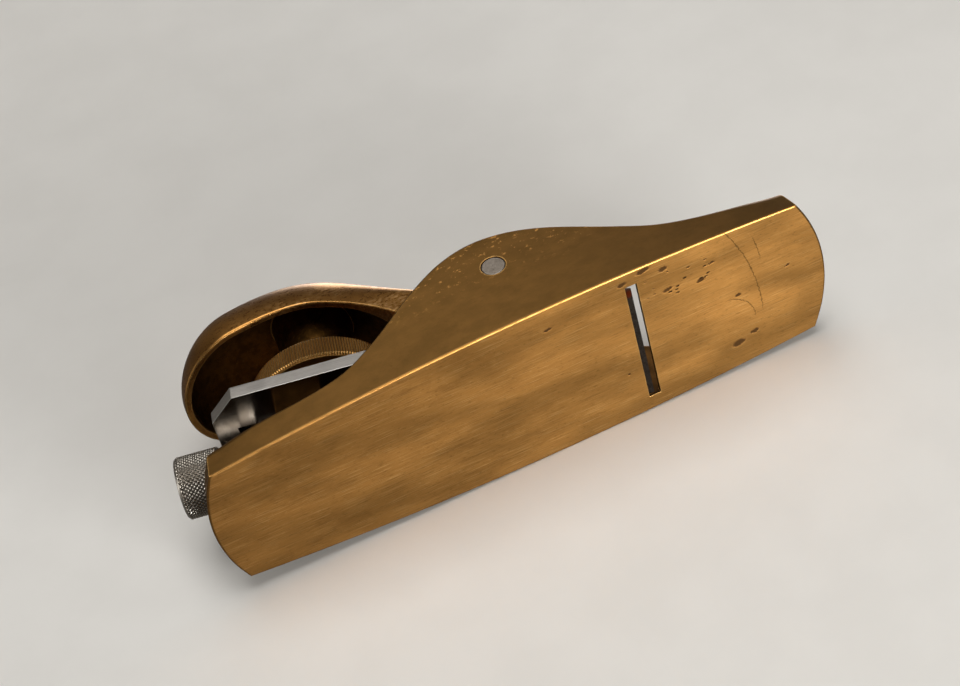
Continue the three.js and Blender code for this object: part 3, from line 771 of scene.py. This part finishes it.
# The cap from the side, as x and height: its rim, where its walls start to close, its crest.
rim_at = curve_through([
    (-66, 34.1), (-55, 35.8), (-41, 36.8), (-33, 35.4), (-26.3, 31.3), (-20.8, 26.4),
    (-16.7, 21.5), (-12.5, 16.4), (-9.4, 13), (-6, 9)])
spring_at = curve_through([
    (-66, 34.1), (-55, 35.8), (-41, 36.8), (-33, 35.4), (-26.3, 31.3), (-21.4, 29.8),
    (-17.4, 28), (-12.3, 25.2), (-6, 20.6), (0.4, 16.6), (8, 16.4), (60, 16.4)])
crest_at = curve_through([
    (-66, 45), (-55, 48.4), (-46, 50), (-39, 50.2), (-32, 49), (-25.7, 46), (-21.4, 41.4),
    (-17.4, 36.6), (-12.3, 30.5), (-6, 23.6), (0.4, 17.6), (8, 17.4), (60, 17.4)])


def under_at(x):
    """Lower edge of the side walls: the rim, then the relieved tongue over the blade."""
    return np.where(x < RIM_END, rim_at(x), blade_top_at(x) + TONGUE_LIFT)


def dome(front, half, foot, spring, crest, tuck, ends=64, straight=90, edge=6, roof=40):
    """Long dome over a plan with straight sides and round ends.

    Going up, the side wall turns out of the rim through a quarter ellipse of width tuck,
    stands straight to the springing line, and closes over the crest as a superellipse:
    reach = half cos^(2/p), rise = sin^(2/p). All of it shrinks onto the crest line.
    """
    down = np.linspace(front, PALM_CENTRE, straight, endpoint=False)
    back = np.linspace(PALM_CENTRE, front, straight, endpoint=False)
    turn = np.linspace(0, np.pi, ends, endpoint=False)
    zero, one = np.zeros(straight), np.ones(straight)
    centre = np.concatenate([down, np.full(ends, PALM_CENTRE), back, np.full(ends, front)])
    dx = np.concatenate([zero, -np.sin(turn), zero, np.sin(turn)])
    dy = np.concatenate([one, np.cos(turn), -one, -np.cos(turn)])
    lower = under_at(centre + dx * half)
    rings = [(0 * centre, 0 * centre + foot), (0 * centre + half - tuck, 0 * centre + foot)]
    for rise in np.linspace(0, np.pi / 2, edge + 1):
        outward = half - tuck * (1 - np.sin(rise))
        rings.append((outward + 0 * centre, lower + abs(tuck) * (1 - np.cos(rise))))
    for lift in np.linspace(0, np.pi / 2, roof + 1):
        last = lift == np.pi / 2
        outward = 0.0 if last else half * np.cos(lift) ** (2 / DOME_POWER)
        x = centre + dx * outward
        climb = np.sin(lift) ** (2 / DOME_POWER)
        base = np.maximum(spring(x), lower + abs(tuck))
        rings.append((outward + 0 * centre, base + (crest(x) - base) * climb))
    points = np.stack([np.stack([centre + dx * r, dy * r, z], -1) for r, z in rings])
    return points, grid_quads(len(rings), len(centre))


def build_cap(look):
    """Dome cut to its side profile and hollowed, with the boss that the screw enters."""
    bright, rough = polished_bronze(look), cast_bronze()
    outer = dome(CAP_FRONT, CAP_HALF, -9, spring_at, crest_at, RIM_ROUND)
    cap = mesh_piece("palm_cap", *outer, bright)

    hook, above = PIN_RADIUS + HOOK_FIT, 60
    xs = np.linspace(CAP_REAR, RIM_END, 160)
    tip = np.array(TONGUE_TIP)
    tip[:, 1] += blade_top_at(tip[:, 0])
    arc = np.linspace(-np.pi / 3, -np.pi, 40)
    hook_arc = np.stack([PIN[0] + hook * np.cos(arc), PIN[2] + hook * np.sin(arc)], -1)
    roofline = [(PIN[0] - hook, above), (CAP_REAR, above)]
    profile = np.vstack([np.stack([xs, rim_at(xs) + RIM_FLAT], -1), tip, hook_arc, roofline])
    combine(cap, "INTERSECT", mesh_piece("profile", *prism(profile, -25, 25), bright))

    hollow = dome(HOLLOW_FRONT, CAP_HALF - CAP_WALL, 2, lambda x: rim_at(x) + RIM_EASE + 0.1,
                  lambda x: crest_at(x) - CAP_ROOF, -RIM_EASE)
    combine(cap, "DIFFERENCE", mesh_piece("hollow", *hollow, rough))

    base = WHEEL_BOTTOM + WHEEL_THICK + BOSS_LIFT + FIT
    top, ease = base + BOSS_HEIGHT, 0.4
    cone, quads, _ = turned([(0, base, 0), (BOSS_LOW - ease, base, 0),
                             (BOSS_LOW, base + ease, 0), (BOSS_HIGH, top, 0),
                             (0, top, 0)], 96)
    boss = mesh_piece("boss", in_blade(cone + [CLAMP_X, 0, 0]), quads, rough)
    within = dome(CAP_FRONT, CAP_HALF - CAP_WALL / 2, -9, spring_at,
                  lambda x: crest_at(x) - CAP_ROOF / 2, RIM_ROUND)
    combine(boss, "INTERSECT", mesh_piece("within", *within, rough))
    combine(cap, "UNION", boss)
    bore, quads = rod(SCREW_RADIUS + FIT, BORE_LOW, BORE_HIGH, 64)
    combine(cap, "DIFFERENCE",
            mesh_piece("bore", in_blade(bore + [CLAMP_X, 0, 0]), quads, rough))
    return finish_piece(cap, "lever_cap", ["lever_cap"], weighted=True)


# ---------------------------------------------------------------- blade


def build_blade(look):
    """Flat blade with clipped corners, ground bevel and a groove for the adjuster."""
    satin = ground_steel("ground_tool_steel", (*look.ground, 1), 0.38, (14, 0.22, 0.22))
    under = ground_steel("lapped_tool_steel", linear("#8A8580"), 0.16, (10, 0.3, 0.3))
    stained = mouth_steel()
    rear, half, clip = -BLADE_LENGTH, BLADE_HALF, BLADE_CLIP
    plan = [(rear, clip - half + 0.1), (rear + clip, -half), (0, -half), (0, half),
            (rear + clip, half), (rear, half - clip - 0.1)]
    ground = BLADE_THICK / math.tan(GRIND_ANGLE)
    side = [(rear - 1, 0), (0, 0), (-ground, BLADE_THICK), (rear - 1, BLADE_THICK)]
    blade = mesh_piece("ground_blade", *prism(plan, 0, BLADE_THICK, "Z"), satin)
    combine(blade, "INTERSECT", mesh_piece("grind", *prism(side, -20, 20), satin))
    low, high, deep = GROOVE_CENTRE - GROOVE_HALF, GROOVE_CENTRE + GROOVE_HALF, GROOVE_DEPTH
    slot = prism([(low, -1), (high, -1), (high, deep), (low, deep)], -GROOVE_REACH,
                 GROOVE_REACH)
    combine(blade, "DIFFERENCE", mesh_piece("slot", *slot, satin))

    blade.data.materials.clear()
    for finish in (satin, under, stained):
        blade.data.materials.append(finish)
    work = bmesh.new()
    work.from_mesh(blade.data)
    bmesh.ops.dissolve_limit(work, angle_limit=math.radians(1), verts=work.verts,
                             edges=work.edges)
    stain_end = -STAINED_LENGTH * MM
    bmesh.ops.bisect_plane(work, geom=[*work.verts, *work.edges, *work.faces],
                           plane_co=(stain_end, 0, 0), plane_no=(1, 0, 0))
    finishes = {"under": 1, "stained": 2}
    for face in work.faces:
        back, bevel = face.normal.z < -0.99, face.normal.x > 0.3
        if bevel or back and face.calc_center_median().x > stain_end:
            face.material_index = finishes["stained"]
        elif back:
            face.material_index = finishes["under"]
    work.to_mesh(blade.data)
    work.free()
    place = np.array([v.co for v in blade.data.vertices]) / MM
    blade.data.vertices.foreach_set("co", (in_blade(place) * MM).astype(np.float32).ravel())
    blade.data.update()
    eased = blade.modifiers.new("Stoned edges", "BEVEL")
    eased.width = 0.12 * MM
    eased.segments = 2
    eased.limit_method = "ANGLE"
    eased.harden_normals = True
    return finish_piece(blade, "blade", ["blade"])


# ---------------------------------------------------------------- turned pieces


def groove_wave(phase):
    """0 on a flat crest and 1 at the bottom of a V groove, once per unit of phase."""
    return np.clip(1.25 * np.abs(2 * (phase % 1) - 1) - 0.25, 0, 1)


def build_wheel(knurls, look):
    """Clamp wheel: a ring whose rim is cut by straight V grooves, running out at the
    chamfers, with a shallow turned recess on its lower face."""
    bore, low, high = SCREW_RADIUS + FIT, WHEEL_BOTTOM, WHEEL_BOTTOM + WHEEL_THICK
    chamfer, depth, r = WHEEL_CHAMFER, knurls.wheel_depth / MM, WHEEL_RADIUS
    recess, ease = low + 0.25, 0.3
    profile = [(bore, low + ease, 0), (bore + ease, low, 0), (9.3 - ease, low, 0),
               (9.3, recess, 0), (13.2, recess, 0), (13.2 + ease, low, 0),
               (r - chamfer, low, 0)]
    profile += [(r - chamfer * (1 - t), low + chamfer * t, depth * t) for t in (0.5, 1.0)]
    profile += [(r, z, depth) for z in np.linspace(low + 3 * ease, high - 3 * ease, 4)]
    profile += [(r - chamfer * (1 - t), high - chamfer * t, depth * t) for t in (1.0, 0.5)]
    profile += [(r - chamfer, high, 0), (bore + ease, high, 0), (bore, high - ease, 0)]
    teeth = knurls.wheel_teeth

    def cut(angle, height):
        return groove_wave(teeth * angle / (2 * np.pi) + 0 * height)

    points, quads, share = turned(profile, teeth * 8, cut, closed=True)
    wheel = mesh_piece("knurled_wheel", in_blade(points + [CLAMP_X, 0, 0]), quads,
                       turned_bronze(look), share)
    return finish_piece(wheel, "clamp_wheel", ["clamp_wheel"], crease=38)


def thread_wave(pitch):
    """Depth share of a V thread: a groove that climbs one pitch in each full turn."""
    return lambda angle, height: groove_wave(height / pitch - angle / (2 * np.pi))


def build_screw():
    """Clamp screw: a shaft with a V thread of 1.25 mm pitch above a plain round foot."""
    foot, top = BLADE_THICK + FIT, WHEEL_BOTTOM + WHEEL_THICK + SCREW_ABOVE_WHEEL
    neck, r, depth, wide = WHEEL_BOTTOM - FIT, SCREW_RADIUS, 0.55, SCREW_FOOT_RADIUS
    profile = [(0, foot, 0), (wide - 1.2, foot, 0), (wide, foot + 0.5, 0), (wide, neck, 0),
               (r, neck, 0), (r, neck + 0.1, 0)]
    profile += [(r, z, depth) for z in np.linspace(neck + 0.4, top - 0.9, 150)]
    profile += [(r - 0.7, top - 0.1, 0), (r - 0.8, top, 0), (0, top, 0)]
    points, quads, share = turned(profile, 72, thread_wave(1.25))
    steel = ground_steel("turned_screw_steel", linear("#A59F98"), 0.3, (0.3, 6, 6))
    screw = mesh_piece("threaded_screw", in_blade(points + [CLAMP_X, 0, 0]), quads, steel,
                       share)
    return finish_piece(screw, "clamp_screw", ["clamp_screw"], crease=50)


def build_stud():
    """Adjuster stud: a rod with a V thread of 0.8 mm pitch, chamfered at its end."""
    rear, front, r, depth, chamfer = STUD_REAR, STUD_FRONT, STUD_RADIUS, 0.4, 0.6
    profile = [(0, rear, 0), (r - chamfer, rear, 0), (r, rear + chamfer, 0)]
    profile += [(r, z, depth) for z in np.linspace(rear + 0.8, front - 0.2, 260)]
    profile += [(r, front, 0), (0, front, 0)]
    points, quads, share = turned(profile, 60, thread_wave(0.8))
    steel = bpy.data.materials["turned_screw_steel"]
    stud = mesh_piece("threaded_stud", lengthwise(points), quads, steel, share)
    return finish_piece(stud, "plane_body", ["adjuster_stud"], crease=50)


def build_nut(knurls, look):
    """Adjuster: diamond-knurled knob, narrow neck and the flange that rides in the groove.

    The knurl is two families of V grooves, one climbing to each hand; a point is cut as
    deep as the deeper of the two.
    """
    bore, depth, r, chamfer = STUD_RADIUS + FIT, knurls.knob_depth / MM, KNOB_RADIUS, 0.5
    rear, front, ease, wide = KNOB_REAR, KNOB_FRONT, 0.3, FLANGE_RADIUS
    flange_rear, flange_front = GROOVE_CENTRE - FLANGE_HALF, GROOVE_CENTRE + FLANGE_HALF
    profile = [(bore, rear + ease, 0), (bore + ease, rear, 0), (r - chamfer, rear, 0)]
    profile += [(r - 0.06, rear + 0.42, 0), (r, rear + chamfer + 0.05, 0)]
    profile += [(r, z, depth) for z in np.linspace(rear + 0.7, front - 0.5, 84)]
    profile += [(r - chamfer, front, 0), (NECK_RADIUS, front, 0)]
    profile += [(NECK_RADIUS, flange_rear, 0), (wide - ease, flange_rear, 0)]
    profile += [(wide, flange_rear + ease, 0), (wide, flange_front - ease, 0)]
    profile += [(wide - ease, flange_front, 0), (bore, flange_front, 0)]
    starts, climb = knurls.knob_starts, 0.95

    def cut(angle, height):
        around = starts * angle / (2 * np.pi)
        up = height / climb
        return np.maximum(groove_wave(around + up), groove_wave(around - up))

    points, quads, share = turned(profile, starts * 8, cut, closed=True)
    nut = mesh_piece("knurled_nut", lengthwise(points), quads, knurled_steel(look), share)
    return finish_piece(nut, "adjuster_nut", ["adjuster_nut"], crease=38)


def build_pin():
    """The CAD pin keeps its shape and gets its steel."""
    pin = frame["nodes"]["cross_pin"]
    pin.data.materials.clear()
    pin.data.materials.append(pin_steel())
    return pin


# ---------------------------------------------------------------- stage

# The camera's place (mm), its right, upward and backward directions, and its lens (mm).
CAMERA_PLACE = (-76.738, -387.949, -366.221)
CAMERA_RIGHT = (0.90376, 0.20154, -0.37763)
CAMERA_UP = (0.40619, -0.68208, 0.60809)
CAMERA_BACK = (-0.13502, -0.70295, -0.69830)
CAMERA_LENS = 97.76

# Soft boxes: direction from the plane, distance, width, height (m) and power (W).
LAMPS = {
    "key": ((0.28, -0.15, -0.94), 0.9, 0.50, 0.30, 9.5),
    "overhead": ((0.00, -0.97, 0.06), 1.1, 1.0, 0.6, 7.5),
    "standing_top": ((0.50, 0.20, 0.84), 1.1, 0.9, 0.7, 7.0),
    "heel_strip": ((-0.93, -0.25, 0.20), 0.9, 0.3, 0.7, 0.7),
}


def floor_material(name, colour, seen_through_other):
    """Matt studio paper with a faint unevenness, fading to the backdrop's tone far away.

    It shows only from its front. The lying floor also hides where it rises behind a plane
    that stands: there, only rays that first crossed the back of the standing floor see it.
    """
    made, tree = new_material(name)
    place = add(tree, "TexCoord").outputs["Object"]
    mottle = add(tree, "TexNoise", {"Vector": place, "Scale": 60.0, "Detail": 4.0})
    tone = layered(tree, (*colour, 1), [(linear("#B9B5AE"), (mottle, 0.3, 0.7, 0.0, 0.08))])
    paper = add(tree, "BsdfDiffuse", {"Color": tone})
    glow = add(tree, "Emission", {"Color": (*colour, 1)})
    reach = add(tree, "VectorMath", (place,), operation="LENGTH").outputs["Value"]
    paper = add(tree, "MixShader", (level(tree, (reach, 0.3, 1.6)), paper, glow))
    hidden = add(tree, "NewGeometry").outputs["Backfacing"]
    if seen_through_other:
        crossed = add(tree, "LightPath").outputs["Transparent Depth"]
        direct = add(tree, "Math", (crossed, 0.5), operation="LESS_THAN")
        z = add(tree, "SeparateXYZ", (place,)).outputs[2]
        above = add(tree, "Math", (z, 0.0), operation="GREATER_THAN")
        behind = level(tree, direct, above)
        hidden = add(tree, "Math", (hidden, behind), operation="MAXIMUM")
    both = add(tree, "MixShader", (hidden, paper, add(tree, "BsdfTransparent")))
    add(tree, "OutputMaterial", {"Surface": both})
    return made


def build_floor(name, corners, material):
    """One flat sheet that only the camera sees: it isn't reflected and casts no shadow."""
    mesh = bpy.data.meshes.new(name)
    mesh.from_pydata(corners, [], [(0, 1, 2, 3)])
    mesh.materials.append(material)
    sheet = bpy.data.objects.new(name, mesh)
    bpy.context.scene.collection.objects.link(sheet)
    for ray in ("diffuse", "glossy", "transmission", "shadow"):
        setattr(sheet, "visible_" + ray, False)
    return sheet


def build_stage(stage):
    """Two pale floors: one the plane stands on, one it lies on with its left cheek down."""
    scene = bpy.context.scene
    reach, side, foot = 30.0, HALF_WIDTH * MM, -0.02 * MM
    build_floor("standing_floor", [(-reach, -reach, foot), (reach, -reach, foot),
                                   (reach, reach, foot), (-reach, reach, foot)],
                floor_material("standing_paper", stage.floor, False))
    build_floor("lying_floor", [(-reach, side, -reach), (reach, side, -reach),
                                (reach, side, reach), (-reach, side, reach)],
                floor_material("lying_paper", stage.floor, True))
    target = Vector((0, 0, 10 * MM))
    for name, (direction, distance, width, height, power) in LAMPS.items():
        data = bpy.data.lights.new(name, "AREA")
        data.shape = "RECTANGLE"
        data.size, data.size_y = width, height
        data.energy = power * stage.light
        lamp = bpy.data.objects.new(name, data)
        out = Vector(direction).normalized()
        lamp.location = target + out * distance
        lamp.rotation_euler = out.to_track_quat("Z", "X").to_euler()
        lamp.visible_camera = False
        scene.collection.objects.link(lamp)

    world = bpy.data.worlds.new("studio")
    world.use_nodes = True
    scene.world = world
    tree = world.node_tree
    tree.nodes.clear()
    seen = add(tree, "LightPath").outputs["Is Camera Ray"]
    dim = add(tree, "Background", {"Color": linear("#D9D4CC"), "Strength": 0.16})
    pale = add(tree, "Background", {"Color": (*stage.floor, 1), "Strength": 1.0})
    add(tree, "OutputWorld", {"Surface": add(tree, "MixShader", (seen, dim, pale))})

    data = bpy.data.cameras.new("camera")
    data.lens = CAMERA_LENS
    data.sensor_width = 36.0
    data.clip_start, data.clip_end = 0.01, 20.0
    camera = bpy.data.objects.new("camera", data)
    turn = Matrix((CAMERA_RIGHT, CAMERA_UP, CAMERA_BACK)).transposed().to_4x4()
    camera.matrix_world = Matrix.Translation(Vector(CAMERA_PLACE) * MM) @ turn
    scene.collection.objects.link(camera)
    scene.camera = camera
    scene.view_settings.view_transform = "Standard"
    return camera


# ---------------------------------------------------------------- operators


# An error in a builder stops the script: an operator never ends by being cancelled.


class WORKSHOP_OT_plane_stage(bpy.types.Operator):
    """Add the pale floors, the soft lamps and the camera"""
    bl_idname = "workshop.plane_stage"
    bl_label = "Stage"

    def execute(self, context):
        build_stage(context.scene.plane_stage)
        return {"FINISHED"}


class WORKSHOP_OT_plane_body(bpy.types.Operator):
    """Build the ground bronze body"""
    bl_idname = "workshop.plane_body"
    bl_label = "Body"

    def execute(self, context):
        build_body(context.scene.plane_bronze)
        return {"FINISHED"}


class WORKSHOP_OT_plane_pin(bpy.types.Operator):
    """Give the cross pin its filed steel"""
    bl_idname = "workshop.plane_pin"
    bl_label = "Cross Pin"

    def execute(self, context):
        build_pin()
        return {"FINISHED"}


class WORKSHOP_OT_plane_cap(bpy.types.Operator):
    """Build the palm-shaped lever cap"""
    bl_idname = "workshop.plane_cap"
    bl_label = "Lever Cap"

    def execute(self, context):
        build_cap(context.scene.plane_bronze)
        return {"FINISHED"}


class WORKSHOP_OT_plane_blade(bpy.types.Operator):
    """Build the blade"""
    bl_idname = "workshop.plane_blade"
    bl_label = "Blade"

    def execute(self, context):
        build_blade(context.scene.plane_steel)
        return {"FINISHED"}


class WORKSHOP_OT_plane_clamp(bpy.types.Operator):
    """Build the clamp screw and its knurled wheel"""
    bl_idname = "workshop.plane_clamp"
    bl_label = "Clamp Screw and Wheel"

    def execute(self, context):
        build_screw()
        build_wheel(context.scene.plane_knurls, context.scene.plane_bronze)
        return {"FINISHED"}


class WORKSHOP_OT_plane_adjuster(bpy.types.Operator):
    """Build the adjuster's stud and its knurled nut"""
    bl_idname = "workshop.plane_adjuster"
    bl_label = "Depth Adjuster"

    def execute(self, context):
        build_stud()
        build_nut(context.scene.plane_knurls, context.scene.plane_steel)
        return {"FINISHED"}


OPERATORS = (WORKSHOP_OT_plane_stage, WORKSHOP_OT_plane_body, WORKSHOP_OT_plane_pin,
             WORKSHOP_OT_plane_cap, WORKSHOP_OT_plane_blade, WORKSHOP_OT_plane_clamp,
             WORKSHOP_OT_plane_adjuster)
SETTINGS = {"plane_bronze": BronzeSettings, "plane_steel": SteelSettings,
            "plane_knurls": KnurlSettings, "plane_stage": StageSettings}


class WORKSHOP_PT_plane(bpy.types.Panel):
    """Sizes, colours and building steps of the block plane"""
    bl_idname = "WORKSHOP_PT_plane"
    bl_label = "Block Plane"
    bl_space_type = "VIEW_3D"
    bl_region_type = "UI"
    bl_category = "Block Plane"

    def draw(self, context):
        for name, group in SETTINGS.items():
            box = self.layout.box()
            for key in group.__annotations__:
                box.prop(getattr(context.scene, name), key)
        for operator in OPERATORS:
            self.layout.operator(operator.bl_idname)


def register():
    for made in (*SETTINGS.values(), *OPERATORS, WORKSHOP_PT_plane):
        bpy.utils.register_class(made)
    for name, group in SETTINGS.items():
        setattr(bpy.types.Scene, name, bpy.props.PointerProperty(type=group))


def unregister():
    for name in SETTINGS:
        delattr(bpy.types.Scene, name)
    for made in (WORKSHOP_PT_plane, *reversed(OPERATORS), *SETTINGS.values()):
        bpy.utils.unregister_class(made)


def main():
    register()
    for step in ("stage", "body", "pin", "cap", "blade", "clamp", "adjuster"):
        getattr(bpy.ops.workshop, "plane_" + step)()


if __name__ == "__main__":
    main()
